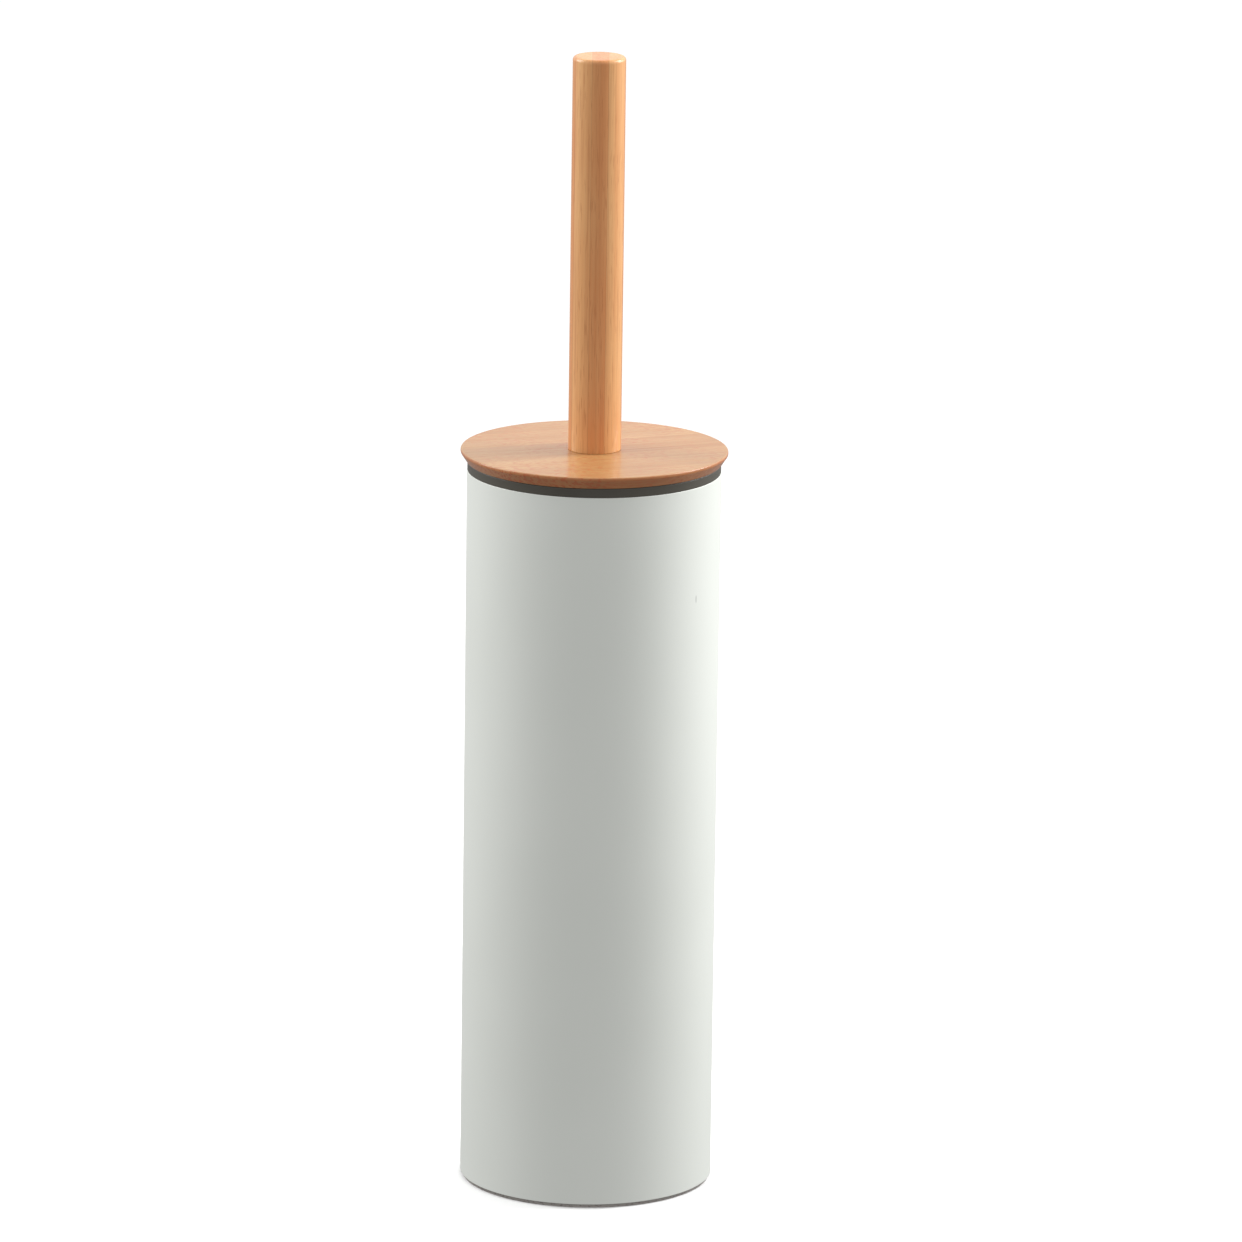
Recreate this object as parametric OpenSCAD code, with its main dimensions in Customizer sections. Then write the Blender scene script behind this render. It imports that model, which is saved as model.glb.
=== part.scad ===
// Free-standing toilet brush holder: a powder-coated steel tube on a pressed base, a lift-out plastic
// liner whose rim shows as a dark band, and a brush whose bamboo lid rests on that rim.
// The axis of everything round is Z, and Z = 0 is the surface the holder stands on.

/* [Holder shell] */
// Outside diameter of the steel tube
shell_od = 84; // [68:0.5:110]
// Sheet thickness of the steel tube
shell_wall = 0.5; // [0.4:0.1:1]
// Height of the steel tube
shell_h = 240.3; // [200:0.1:300]

/* [Base] */
// Thickness of the soft pad under the base
pad_t = 1.2; // [0.8:0.1:3]
// How far the pad's edge is set in from the outside of the tube
pad_inset = 0.7; // [0.2:0.1:3]
// Sheet thickness of the pressed base pan
pan_t = 0.5; // [0.4:0.1:1]
// Height of the base pan's turned-up flange, over all
pan_flange_h = 8; // [4:0.5:20]

/* [Liner] */
// Height of the liner's rim, which rests on the tube's top edge
rim_h = 3.2; // [2:0.1:6]
// How far the rim's side is set in from the outside of the tube
rim_inset = 0.1; // [0:0.05:0.4]
// Room left below the lid's plug inside the liner's thin neck
neck_room = 0.5; // [0.2:0.1:4]
// Wall of the thin neck
neck_wall = 0.6; // [0.5:0.1:1.2]
// Gap between the neck and the inside of the tube
neck_gap = 0.2; // [0.15:0.05:0.6]
// Wall of the liner below its neck
liner_wall = 1; // [0.8:0.1:1.6]
// Gap between the liner's side and the inside of the tube, just below the neck
liner_gap = 0.5; // [0.3:0.1:1.1]
// Gap between the foot of the liner, which tapers, and the base pan's flange
flange_gap = 0.55; // [0.4:0.05:3]
// Thickness of the liner's floor
liner_floor_t = 1.2; // [1:0.1:3]
// Gap between the base pan and the liner's floor
liner_floor_gap = 1.3; // [0.5:0.1:6]

/* [Lid] */
// Thickness of the lid's disc
lid_t = 4; // [3:0.1:10]
// How far the disc's top edge stands out beyond the tube
lid_overhang = 2.2; // [0.5:0.1:6]
// How much the disc's side tapers in towards its underside
lid_taper = 2; // [0:0.1:4]
// Height of the disc's upright edge above the taper
lid_edge_h = 1; // [0.4:0.1:2]
// Depth of the plug below the disc
plug_h = 3.5; // [2:0.1:8]
// Gap between the plug and the liner's neck
plug_gap = 0.25; // [0.15:0.05:0.6]
// Bamboo left between the stem's socket and the top of the lid
lid_web = 3; // [2:0.1:3.5]

/* [Handle] */
// Diameter of the round handle
handle_d = 17.5; // [14:0.5:24]
// Length of the handle above the lid
handle_l = 131.5; // [90:0.5:180]
// Radius of the rounding at the handle's top
handle_round = 1.2; // [0.4:0.1:3]

/* [Hanger bolt] */
// Outside diameter of the bolt that joins the handle, the lid and the stem
bolt_d = 6; // [4:0.1:7.2]
// Length of its wood thread inside the handle
bolt_in_handle = 28; // [15:1:50]
// Length of its machine thread inside the stem's top plug
bolt_in_stem = 14; // [8:1:24]

/* [Stem] */
// Outside diameter of the steel stem
stem_d = 15; // [12.5:0.5:18]
// Wall of the steel stem
stem_wall = 0.5; // [0.4:0.1:1]
// Gap round the stem where it enters the lid
stem_hole_gap = 1.1; // [0.3:0.1:2]
// Length of the stem's top plug past the end of the bolt
top_insert_extra = 6; // [0:1:20]
// Solid length of the stem's bottom plug above its screw hole
bottom_insert_web = 7; // [4:1:20]
// Height of the staking dimples above the collar
dimple_lift = 2.6; // [2.2:0.1:8]
// Depth of each staking dimple
dimple_depth = 0.7; // [0.3:0.1:0.9]
// Number of staking dimples round the stem
dimple_count = 3; // [2:1:4]

/* [Brush head] */
// Diameter of the collar at the top of the brush head
collar_d = 32; // [28:1:44]
// Thickness of the collar
collar_t = 2.2; // [2:0.1:5]
// Radius of the rounding at the collar's upper edge
collar_round = 0.8; // [0.3:0.1:1.5]
// Depth of the collar's recess, in which the stem stands
collar_socket = 1.5; // [0.8:0.1:1.5]
// Gap round the stem inside that recess
collar_gap = 2.4; // [0.3:0.1:4]
// Outside diameter of the head's threaded stud
stud_d = 8; // [6:0.5:10]
// Length of the head's threaded stud
stud_l = 14; // [8:1:24]
// Diameter of the spigot that carries the soft sleeve
spigot_d = 16; // [12:0.5:20]
// Wall of the soft sleeve round the spigot
sleeve_wall = 3; // [2.5:0.1:5]
// Length of the soft sleeve's straight part
sleeve_l = 49.8; // [40:0.1:70]
// Gap between the lowest bristles and the liner's floor
head_floor_gap = 4; // [2:0.5:20]

/* [Bristles] */
// Gap between the bristle tips and the liner, where it is narrowest
bristle_gap = 0.9; // [0.6:0.1:6]
// How much nearer to its centre the round end's bristles stop than the side ones
round_end_step = 1.5; // [0:0.5:6]
// Thickness of a bristle at its root
bristle_root_d = 2.6; // [1.8:0.1:3.1]
// Thickness of a bristle at its tip
bristle_tip_d = 1.9; // [1:0.1:2.4]
// Bristles in one ring round the sleeve's straight part
bristle_rows = 20; // [12:1:22]
// Rings of bristles along the sleeve's straight part
bristle_rings = 11; // [6:1:12]
// How far the top ring of bristles droops, in degrees
bristle_droop = 6; // [0:1:10]

/* [Hidden] */

// True curves: every round shape keeps its exact radius at any value above 12.
$fn = 96;
// Small clearance between pieces of one assembly that are pressed or screwed together.
seat_gap = 0.05;
// Extra reach of a cutting shape past the face that it opens.
cut = 1;

// Radii of the shell, the base and the liner.
shell_r = shell_od / 2;
shell_in_r = shell_r - shell_wall;
pad_r = shell_r - pad_inset;
pan_r = shell_in_r - seat_gap;
pan_in_r = pan_r - pan_t;
rim_r = shell_r - rim_inset;
neck_r = shell_in_r - neck_gap;
neck_in_r = neck_r - neck_wall;
liner_top_r = shell_in_r - liner_gap;
liner_bottom_r = pan_in_r - flange_gap;
// The inside of the liner's corners is cut at 45 degrees by this much.
liner_chamfer = 2;

// Heights of the holder, from the surface up.
shell_z = pad_t;
shell_top_z = shell_z + shell_h;
pan_top_z = pad_t + pan_t;
liner_z = pan_top_z + liner_floor_gap;
liner_floor_z = liner_z + liner_floor_t;
rim_top_z = shell_top_z + rim_h;
neck_z = rim_top_z - plug_h - neck_room;
// The neck narrows to the liner's side over this height.
neck_step_h = 1;

// The lid: its underside rests on the rim.
lid_r = shell_r + lid_overhang;
plug_r = neck_in_r - plug_gap;
lid_z = rim_top_z;
lid_top_z = lid_z + lid_t;
plug_z = lid_z - plug_h;
stem_top_z = lid_top_z - lid_web;
handle_top_z = lid_top_z + handle_l;

// The brush head hangs just clear of the liner's floor, and the stem is as long as that needs.
bristle_reach = liner_bottom_r - liner_wall - bristle_gap;
round_end_reach = bristle_reach - round_end_step;
round_end_z = liner_floor_z + head_floor_gap + round_end_reach;
collar_z = round_end_z + sleeve_l;
collar_top_z = collar_z + collar_t;
stem_z = collar_top_z - collar_socket;
stem_l = stem_top_z - stem_z;
stem_in_r = stem_d / 2 - stem_wall;
insert_r = stem_in_r - seat_gap;
top_insert_l = bolt_in_stem + top_insert_extra;
socket_r = stem_d / 2 + stem_hole_gap;

// Staking dimples: a round punch dents the stem into a groove of the bottom plug.
dimple_z = collar_top_z + dimple_lift;
dimple_punch_r = 2.6;
dimple_centre_r = stem_d / 2 - dimple_depth + dimple_punch_r;
dimple_first_angle = -73;
dimple_bump_r = dimple_punch_r + stem_wall;
groove_r = dimple_centre_r - dimple_bump_r - 0.2;
groove_h = 5;

// Screw threads, drawn as rings with the true pitch and depth.
machine_pitch = 1;
machine_depth = 0.6;
wood_pitch = 2.4;
wood_depth = 0.9;
stud_pitch = 1.25;
stud_depth = 0.7;
// Length of the bolt's plain shank, which passes through the lid.
bolt_shank_l = lid_web;
bolt_hole_gap = 0.3;
// Room at the blind end of each screw hole.
hole_end_gap = 1;
bottom_insert_l = stud_l + hole_end_gap + bottom_insert_web;

// Barbs on the spigot that hold the soft sleeve.
barb_count = 3;
barb_h = 1.5;
barb_proud = 0.6;
barb_first = 9;
barb_pitch = (sleeve_l - 2 * barb_first) / (barb_count - 1);
spigot_end_drop = 1.2;

// Bristles are rooted this deep in the sleeve, so that each one grows out of it.
bristle_depth = 1.5;
sleeve_r = spigot_d / 2 + sleeve_wall;
// The top ring of bristles lies this far below the collar, and the last this far above the round end.
bristle_first_drop = 1.7;
bristle_last_rise = 1.1;
bristle_pitch = (sleeve_l - bristle_first_drop - bristle_last_rise) / (bristle_rings - 1);
// Rings on the round end: the angle of each below the horizontal, and its number of bristles.
round_end_rings = [[14, 20], [30, 18], [46, 14], [62, 10], [78, 4]];

// Outline of a threaded rod that starts at the origin and runs up.
module thread_profile(r, pitch, depth, length) {
    turns = floor(length / pitch);
    ridges = [for (i = [0:turns - 1]) each [[r - depth, i * pitch], [r, (i + 0.5) * pitch]]];
    polygon(concat([[0, 0]], ridges, [[r - depth, turns * pitch], [r - depth, length], [0, length]]));
}

// Upright rod with a rounded top edge.
module round_topped_profile(r, h, edge) {
    square([r - edge, h]);
    square([r, h - edge]);
    translate([r - edge, h - edge]) intersection() {
        circle(edge);
        square(edge);
    }
}

module shell() {
    color("white") translate([0, 0, shell_z]) difference() {
        cylinder(r = shell_r, h = shell_h);
        translate([0, 0, -cut]) cylinder(r = shell_in_r, h = shell_h + 2 * cut);
    }
}

module base_pan() {
    color("white") translate([0, 0, pad_t]) difference() {
        cylinder(r = pan_r, h = pan_flange_h);
        translate([0, 0, pan_t]) cylinder(r = pan_in_r, h = pan_flange_h);
    }
}

module base_pad() {
    color("dimgray") cylinder(r = pad_r, h = pad_t);
}

module liner() {
    step_z = neck_z - neck_step_h;
    outside = [
        [0, liner_z],
        [liner_bottom_r - liner_chamfer, liner_z],
        [liner_bottom_r, liner_z + liner_chamfer],
        [liner_top_r, step_z],
        [neck_r, neck_z],
        [neck_r, shell_top_z],
        [rim_r, shell_top_z],
        [rim_r, rim_top_z]
    ];
    inside = [
        [neck_in_r, rim_top_z],
        [neck_in_r, neck_z],
        [liner_top_r - liner_wall, step_z],
        [liner_bottom_r - liner_wall, liner_floor_z + liner_chamfer],
        [liner_bottom_r - liner_wall - liner_chamfer, liner_floor_z],
        [0, liner_floor_z]
    ];
    color([0.12, 0.12, 0.12]) rotate_extrude() polygon(concat(outside, inside));
}

module lid() {
    outline = [
        [0, plug_z],
        [plug_r, plug_z],
        [plug_r, lid_z],
        [lid_r - lid_taper, lid_z],
        [lid_r, lid_top_z - lid_edge_h],
        [lid_r, lid_top_z],
        [0, lid_top_z]
    ];
    color("burlywood") difference() {
        rotate_extrude() polygon(outline);
        translate([0, 0, plug_z - cut]) cylinder(r = socket_r, h = stem_top_z - plug_z + cut);
        translate([0, 0, plug_z]) cylinder(d = bolt_d + 2 * bolt_hole_gap, h = lid_top_z - plug_z + cut);
    }
}

module handle() {
    color("burlywood") translate([0, 0, lid_top_z]) difference() {
        rotate_extrude() round_topped_profile(handle_d / 2, handle_l, handle_round);
        translate([0, 0, -cut])
            cylinder(r = bolt_d / 2 + seat_gap, h = bolt_in_handle + hole_end_gap + cut);
    }
}

module hanger_bolt() {
    color("silver") {
        translate([0, 0, lid_top_z])
            rotate_extrude() thread_profile(bolt_d / 2, wood_pitch, wood_depth, bolt_in_handle);
        translate([0, 0, stem_top_z]) cylinder(r = bolt_d / 2 - machine_depth / 2, h = bolt_shank_l);
        translate([0, 0, stem_top_z - bolt_in_stem])
            rotate_extrude() thread_profile(bolt_d / 2, machine_pitch, machine_depth, bolt_in_stem);
    }
}

// Places its child at each staking dimple, with X pointing outwards.
module at_dimples() {
    for (i = [0:dimple_count - 1])
        rotate([0, 0, dimple_first_angle + i * 360 / dimple_count])
            translate([dimple_centre_r, 0, dimple_z]) children();
}

module stem_tube() {
    color("lightgray") difference() {
        union() {
            translate([0, 0, stem_z]) difference() {
                cylinder(d = stem_d, h = stem_l);
                translate([0, 0, -cut]) cylinder(r = stem_in_r, h = stem_l + 2 * cut);
            }
            intersection() {
                at_dimples() sphere(r = dimple_bump_r);
                translate([0, 0, dimple_z - groove_h]) cylinder(r = stem_d / 2, h = 2 * groove_h);
            }
        }
        at_dimples() sphere(r = dimple_punch_r);
    }
}

module stem_top_insert() {
    color("silver") translate([0, 0, stem_top_z - top_insert_l]) difference() {
        cylinder(r = insert_r, h = top_insert_l);
        translate([0, 0, -cut]) cylinder(r = bolt_d / 2 + seat_gap, h = top_insert_l + 2 * cut);
    }
}

module stem_bottom_insert() {
    color([0.16, 0.16, 0.16]) difference() {
        translate([0, 0, stem_z]) cylinder(r = insert_r, h = bottom_insert_l);
        translate([0, 0, stem_z - cut])
            cylinder(r = stud_d / 2 + seat_gap, h = stud_l + hole_end_gap + cut);
        translate([0, 0, dimple_z - groove_h / 2]) difference() {
            cylinder(r = insert_r + cut, h = groove_h);
            cylinder(r = groove_r, h = groove_h);
        }
    }
}

module brush_core() {
    color([0.1, 0.1, 0.1]) {
        difference() {
            translate([0, 0, collar_z])
                rotate_extrude() round_topped_profile(collar_d / 2, collar_t, collar_round);
            translate([0, 0, stem_z]) cylinder(r = stem_d / 2 + collar_gap, h = collar_socket + cut);
        }
        translate([0, 0, stem_z])
            rotate_extrude() thread_profile(stud_d / 2, stud_pitch, stud_depth, stud_l);
        translate([0, 0, round_end_z - spigot_end_drop])
            cylinder(d = spigot_d, h = collar_z - round_end_z + spigot_end_drop);
        for (i = [0:barb_count - 1])
            translate([0, 0, collar_z - barb_first - i * barb_pitch - barb_h / 2])
                cylinder(r = spigot_d / 2 + barb_proud, h = barb_h);
    }
}

// Space that the core takes up inside the soft sleeve.
module core_space() {
    translate([0, 0, round_end_z - spigot_end_drop - seat_gap])
        cylinder(r = spigot_d / 2 + seat_gap, h = collar_z - round_end_z + spigot_end_drop + cut);
    for (i = [0:barb_count - 1])
        translate([0, 0, collar_z - barb_first - i * barb_pitch - barb_h / 2 - seat_gap])
            cylinder(r = spigot_d / 2 + barb_proud + seat_gap, h = barb_h + 2 * seat_gap);
}

// One tapered bristle that points along X from its root on the axis.
module bristle(reach) {
    root = sleeve_r - bristle_depth;
    translate([root, 0, 0]) rotate([0, 90, 0])
        cylinder(d1 = bristle_root_d, d2 = bristle_tip_d, h = reach - root);
}

module side_bristles() {
    for (ring = [0:bristle_rings - 1])
        for (row = [0:bristle_rows - 1]) {
            droop = bristle_droop * max(0, 1 - ring / 3);
            z = collar_z - bristle_first_drop - ring * bristle_pitch;
            translate([0, 0, z]) rotate([0, 0, row * 360 / bristle_rows]) rotate([0, droop, 0])
                bristle(bristle_reach);
        }
}

module round_end_bristles() {
    for (ring = round_end_rings)
        for (i = [0:ring[1] - 1])
            translate([0, 0, round_end_z]) rotate([0, 0, i * 360 / ring[1]]) rotate([0, ring[0], 0])
                bristle(round_end_reach);
}

module bristle_sleeve() {
    color([0.06, 0.06, 0.06]) difference() {
        union() {
            translate([0, 0, round_end_z]) cylinder(r = sleeve_r, h = sleeve_l);
            translate([0, 0, round_end_z]) sphere(r = sleeve_r);
            side_bristles();
            round_end_bristles();
        }
        core_space();
    }
}

shell();
base_pan();
base_pad();
liner();
lid();
handle();
hanger_bolt();
stem_tube();
stem_top_insert();
stem_bottom_insert();
brush_core();
bristle_sleeve();
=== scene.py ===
"""Free-standing toilet brush holder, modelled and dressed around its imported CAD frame.

A powder-coated steel tube stands on a pressed base with a foam pad. A plastic liner hangs
in it by its rim, which shows as a dark band, and a brush with a bamboo lid and handle
hangs in the liner. Everything is in metres, in the frame of the CAD model, with Z up.
"""

import logging
import math
import random
from collections.abc import Sequence
from dataclasses import dataclass, field
from enum import Enum
from itertools import pairwise

import bmesh
import bpy
from mathutils import Matrix, Vector


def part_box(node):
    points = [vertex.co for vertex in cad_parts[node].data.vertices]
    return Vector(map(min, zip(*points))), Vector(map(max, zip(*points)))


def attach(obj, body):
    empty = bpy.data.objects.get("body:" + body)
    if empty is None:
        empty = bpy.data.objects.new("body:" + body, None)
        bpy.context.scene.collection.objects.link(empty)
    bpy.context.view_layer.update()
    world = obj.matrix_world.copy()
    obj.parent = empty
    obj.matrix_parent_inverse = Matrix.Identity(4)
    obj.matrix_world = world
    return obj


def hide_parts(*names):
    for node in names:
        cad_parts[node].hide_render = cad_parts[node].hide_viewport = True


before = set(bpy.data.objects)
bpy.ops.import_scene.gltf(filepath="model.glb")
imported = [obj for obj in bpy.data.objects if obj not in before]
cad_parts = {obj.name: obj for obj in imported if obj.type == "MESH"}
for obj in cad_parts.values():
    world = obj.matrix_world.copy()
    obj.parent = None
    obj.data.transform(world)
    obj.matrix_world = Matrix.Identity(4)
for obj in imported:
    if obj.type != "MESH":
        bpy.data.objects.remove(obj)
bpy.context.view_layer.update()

LOG = logging.getLogger("brush_holder")
MM = 0.001
FULL_TURN = 2 * math.pi
# Points closer together than this are the same point.
MERGE = 1e-6
# Edges that bend more than this keep a crease in the shading.
CREASE = math.radians(35)
# Steps along each rounded corner of an outline.
CORNER_STEPS = 6
# A rounded corner is framed by a narrow band, this share of its radius wide, or less where
# the straight stretch beside it is short.
HOLD_SHARE = 0.35
SPARE_SHARE = 0.25
# A band narrower than this is left out.
LEAST_BAND = 10 * MERGE
# Places of a Mix node's sockets for colours, whose names are shared with its other sockets.
MIX_SHARE = 0
MIX_FIRST = 6
MIX_SECOND = 7
MIX_RESULT = 2

Colour = tuple[float, float, float]
Point = tuple[float, float, float]
Socket = bpy.types.NodeSocket

# A place far outside the object, for a mark that a piece doesn't have.
NOWHERE: Point = (0, 0, -1)


class Body(Enum):
    """The moving bodies of the frame."""

    HOLDER = "holder"
    LINER = "liner"
    BRUSH = "brush"


class Slot(Enum):
    """The record's material slots."""

    WHITE_POWDER_COAT = "white_powder_coat"
    BASE_SHEET = "base_sheet"
    FOOT_PAD = "foot_pad"
    LINER_PLASTIC = "liner_plastic"
    BAMBOO = "bamboo"
    STAINLESS = "stainless"
    PLATED_STEEL = "plated_steel"
    HEAD_PLASTIC = "head_plastic"
    SILICONE = "silicone"


class Grain(Enum):
    """Which way the bamboo's fibres run in a piece."""

    UPRIGHT = "upright"
    LEVEL = "level"


# ---------------------------------------------------------------------------
# Modelling
# ---------------------------------------------------------------------------


@dataclass(frozen=True)
class Span:
    """The place of a round CAD node: its radius, and its lowest and highest point."""

    radius: float
    low: float
    high: float

    @classmethod
    def of(cls, node: str) -> "Span":
        """Reads the place of a CAD node.

        Args:
            node: Name of the node.

        Returns:
            Its radius about the Z axis and its two heights.
        """
        low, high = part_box(node)
        return cls(radius=high.x, low=low.z, high=high.z)


@dataclass(frozen=True)
class Bend:
    """One corner of a lathe outline: its distance from the axis, its height and its rounding."""

    r: float
    z: float
    rounding: float = 0.0

    def place(self) -> Vector:
        """The corner as a flat vector."""
        return Vector((self.r, self.z))


def clear_selection() -> None:
    """Leaves no object selected."""
    bpy.ops.object.select_all(action="DESELECT")


def pick(piece: bpy.types.Object) -> None:
    """Selects one object alone and makes it the active one.

    Args:
        piece: The object to select.
    """
    clear_selection()
    piece.select_set(True)
    bpy.context.view_layer.objects.active = piece


def rounded_path(bends: Sequence[Bend], closed: bool) -> list[Vector]:
    """Turns an outline with rounded corners into the points along it.

    Args:
        bends: The corners in order.
        closed: True if the last corner is joined to the first.

    Returns:
        Flat points (r, z), which end where they start if the outline is closed.
    """
    count = len(bends)
    setbacks = []
    for i, bend in enumerate(bends):
        if bend.rounding == 0 or (not closed and i in (0, count - 1)):
            setbacks.append(0.0)
            continue
        into = bend.place() - bends[i - 1].place()
        out = bends[(i + 1) % count].place() - bend.place()
        setbacks.append(bend.rounding * math.tan(into.angle(out) / 2))
    points: list[Vector] = []
    for i, bend in enumerate(bends):
        here = bend.place()
        if setbacks[i] == 0:
            points.append(here)
            continue
        after = (i + 1) % count
        into = here - bends[i - 1].place()
        out = bends[after].place() - here
        spare_in = into.length - setbacks[i] - setbacks[i - 1]
        spare_out = out.length - setbacks[i] - setbacks[after]
        turned = into.angle(out)
        side = 1 if into.x * out.y - into.y * out.x > 0 else -1
        into.normalize()
        out.normalize()
        start = here - into * setbacks[i]
        centre = start + Vector((-into.y, into.x)) * side * bend.rounding
        hold_in = min(HOLD_SHARE * bend.rounding, SPARE_SHARE * spare_in)
        hold_out = min(HOLD_SHARE * bend.rounding, SPARE_SHARE * spare_out)
        if hold_in > LEAST_BAND:
            points.append(start - into * hold_in)
        for k in range(CORNER_STEPS + 1):
            arm = start - centre
            arm.rotate(Matrix.Rotation(side * turned * k / CORNER_STEPS, 2))
            points.append(centre + arm)
        if hold_out > LEAST_BAND:
            points.append(here + out * (setbacks[i] + hold_out))
    if closed:
        points.append(points[0].copy())
    return points


def start_point(name: str, at: Point) -> bpy.types.Object:
    """Adds a mesh that is one point, left selected in edit mode, ready to be extruded.

    Args:
        name: Name of the new piece.
        at: Where the point is.

    Returns:
        The new object, whose own place is the origin.
    """
    clear_selection()
    bpy.ops.mesh.primitive_plane_add(size=MM, location=at)
    piece = bpy.context.active_object
    piece.name = name
    piece.data.name = name
    bpy.ops.object.transform_apply(location=True, rotation=True, scale=True)
    bpy.ops.object.mode_set(mode="EDIT")
    bpy.ops.mesh.select_all(action="SELECT")
    bpy.ops.mesh.merge(type="CENTER")
    return piece


def turn(name: str, bends: Sequence[Bend], closed: bool, steps: int) -> bpy.types.Object:
    """Models a turned piece: an outline is extruded point by point and spun about Z.

    Args:
        name: Name of the new piece.
        bends: The outline's corners. An open one starts and ends on the axis.
        closed: True if the outline is a ring that doesn't touch the axis.
        steps: Number of steps round the axis.

    Returns:
        The new object, with merged seams, outward faces and smooth shading.
    """
    path = rounded_path(bends, closed)
    piece = start_point(name, (path[0].x, 0, path[0].y))
    for before, after in pairwise(path):
        step = after - before
        bpy.ops.mesh.extrude_region_move(TRANSFORM_OT_translate={"value": (step.x, 0, step.y)})
    bpy.ops.mesh.select_all(action="SELECT")
    bpy.ops.mesh.spin(steps=steps, angle=FULL_TURN, center=(0, 0, 0), axis=(0, 0, 1))
    close_up(piece)
    return piece


def close_up(piece: bpy.types.Object) -> None:
    """Merges the seams of the piece in edit mode, faces it outwards and shades it smooth.

    Args:
        piece: The piece, which is in edit mode and leaves it.
    """
    bpy.ops.mesh.select_all(action="SELECT")
    bpy.ops.mesh.remove_doubles(threshold=MERGE)
    bpy.ops.mesh.normals_make_consistent(inside=False)
    bpy.ops.object.mode_set(mode="OBJECT")
    pick(piece)
    bpy.ops.object.shade_smooth_by_angle(angle=CREASE)


def screw_ridges(r: float, top: float, length: float, pitch: float, depth: float) -> list[Bend]:
    """Outline of a screw's ridges, from its top end down.

    Args:
        r: Outside radius of the screw.
        top: Height of its upper end.
        length: Length of the threaded part.
        pitch: Distance from ridge to ridge.
        depth: Depth of the grooves.

    Returns:
        The corners of the ridges and grooves.
    """
    turns = math.floor(length / pitch)
    bends = [Bend(r - depth, top)]
    for i in range(turns, 0, -1):
        bends.append(Bend(r - depth, top - length + i * pitch))
        bends.append(Bend(r, top - length + (i - 0.5) * pitch))
    bends.append(Bend(r - depth, top - length))
    return bends


def settle(
    piece: bpy.types.Object, body: Body, slot: Slot, finish: bpy.types.Material, *nodes: str
) -> None:
    """Dresses a finished piece, lets it ride on its body and stand for its CAD nodes.

    Args:
        piece: The finished piece.
        body: The body that it moves with.
        slot: The record's slot that its finish belongs to; not used.
        finish: Its material.
        nodes: The CAD nodes that it stands for.
    """
    piece.data.materials.clear()
    piece.data.materials.append(finish)
    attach(piece, body.value)
    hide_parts(*nodes)
    faces = len(piece.data.polygons)
    LOG.info("%s: %d faces, %s, on %s", piece.name, faces, finish.name, body.value)


def dress_node(node: str, finish: bpy.types.Material) -> None:
    """Gives a CAD node that stays as it is its material.

    Args:
        node: Name of the node.
        finish: Its material.
    """
    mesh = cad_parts[node].data
    mesh.materials.clear()
    mesh.materials.append(finish)
    LOG.info("%s: kept from the frame, %s", node, finish.name)


# ---------------------------------------------------------------------------
# Finishes
# ---------------------------------------------------------------------------


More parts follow.
